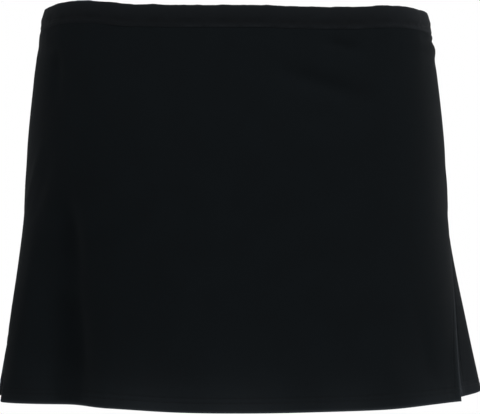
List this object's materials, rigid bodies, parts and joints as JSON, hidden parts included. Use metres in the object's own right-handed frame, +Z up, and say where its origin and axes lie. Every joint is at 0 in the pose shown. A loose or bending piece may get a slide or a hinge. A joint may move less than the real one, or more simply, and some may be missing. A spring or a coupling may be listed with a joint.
{
  "type": "tennis skort",
  "caption": "Tennis skort shaped as worn: a short flared skirt, vented at its sides, over fitted shorts, hung from a narrow elastic waistband.",
  "frame": {"origin": "middle of the waist opening, at half the waistband's height, where the wearer holds it up", "axes": "+Z up, -Y towards the front, +X towards the wearer's left side"},
  "size_m": [0.416, 0.2831, 0.3326],
  "materials": {
    "skirt_jersey": "matt black cotton-stretch jersey, fine flat knit",
    "waistband_jersey": "the same black jersey stretched over elastic, a touch lighter",
    "shorts_jersey": "smooth black stretch jersey with a faint sheen"
  },
  "bodies": {
    "root": {"skirt_front": "skirt_jersey", "skirt_back": "skirt_jersey", "waistband_front": "waistband_jersey", "waistband_back": "waistband_jersey", "shorts_left": "shorts_jersey", "shorts_right": "shorts_jersey"}
  },
  "joints": []
}
